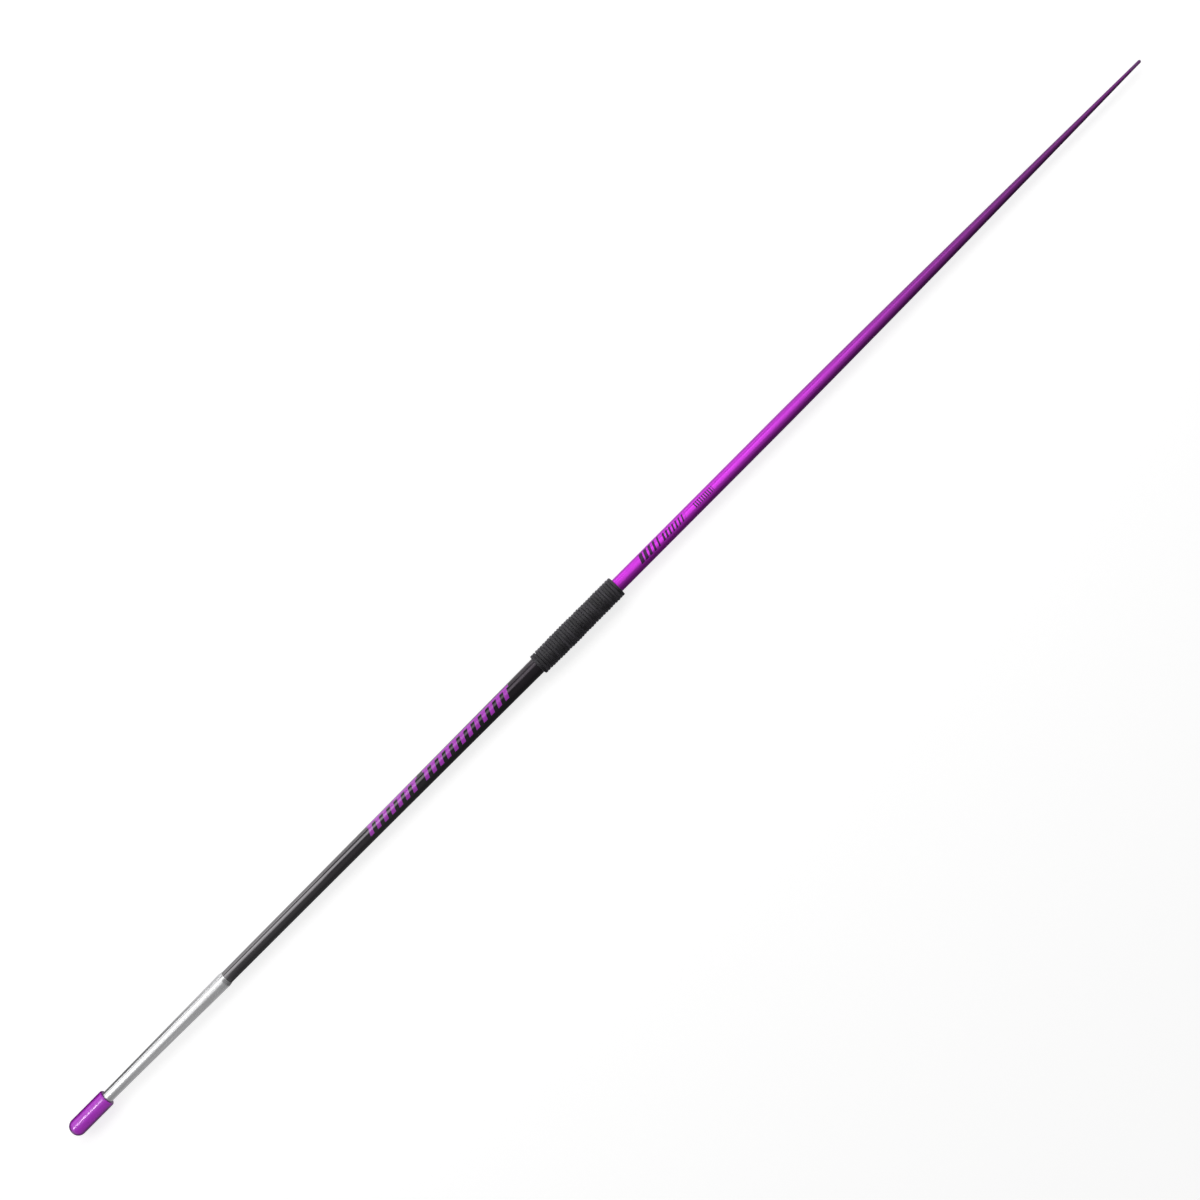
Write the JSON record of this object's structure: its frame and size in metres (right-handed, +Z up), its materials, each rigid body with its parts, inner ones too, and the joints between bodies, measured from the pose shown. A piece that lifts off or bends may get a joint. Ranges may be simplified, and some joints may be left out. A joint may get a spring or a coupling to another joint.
{
  "type": "javelin",
  "caption": "Training javelin with a pull-off blunt rubber tip, metal head, tapered two-part tube shaft, cord-bound grip and plugged tail.",
  "frame": {"origin": "on the javelin's axis, at the middle of the cord grip", "axes": "+X along the axis towards the rubber nose, +Z up, with the flat on the grip's underside facing down"},
  "size_m": [2.2, 0.0342, 0.034],
  "materials": {
    "tip_rubber": "satin purple rubber",
    "point_metal": "turned",
    "head_metal": "polished, with a fine drawn grain",
    "black_anodised": "gloss black anodised",
    "plain_aluminium": "mill finish",
    "purple_anodised": "bright purple anodised",
    "stop_rubber": "matt",
    "weight_steel": "turned",
    "base_rubber": "matt",
    "cord": "waxed black braided cord",
    "plug_plastic": "satin"
  },
  "bodies": {
    "javelin": {"point_plug": "point_metal", "head_tube": "head_metal", "front_shaft": "black_anodised", "joint_sleeve": "plain_aluminium", "rear_shaft": "purple_anodised", "weight_stop_front": "stop_rubber", "balance_weight": "weight_steel", "weight_stop_rear": "stop_rubber", "grip_base": "base_rubber", "grip_cord": "cord", "tail_plug": "plug_plastic"},
    "tip_cap": {"rubber_tip": "tip_rubber"}
  },
  "joints": [
    {"name": "tip_pull_off", "type": "slide", "parent": "javelin", "child": "tip_cap", "axis": [1, 0, 0], "range_m": [0, 0.08]}
  ]
}
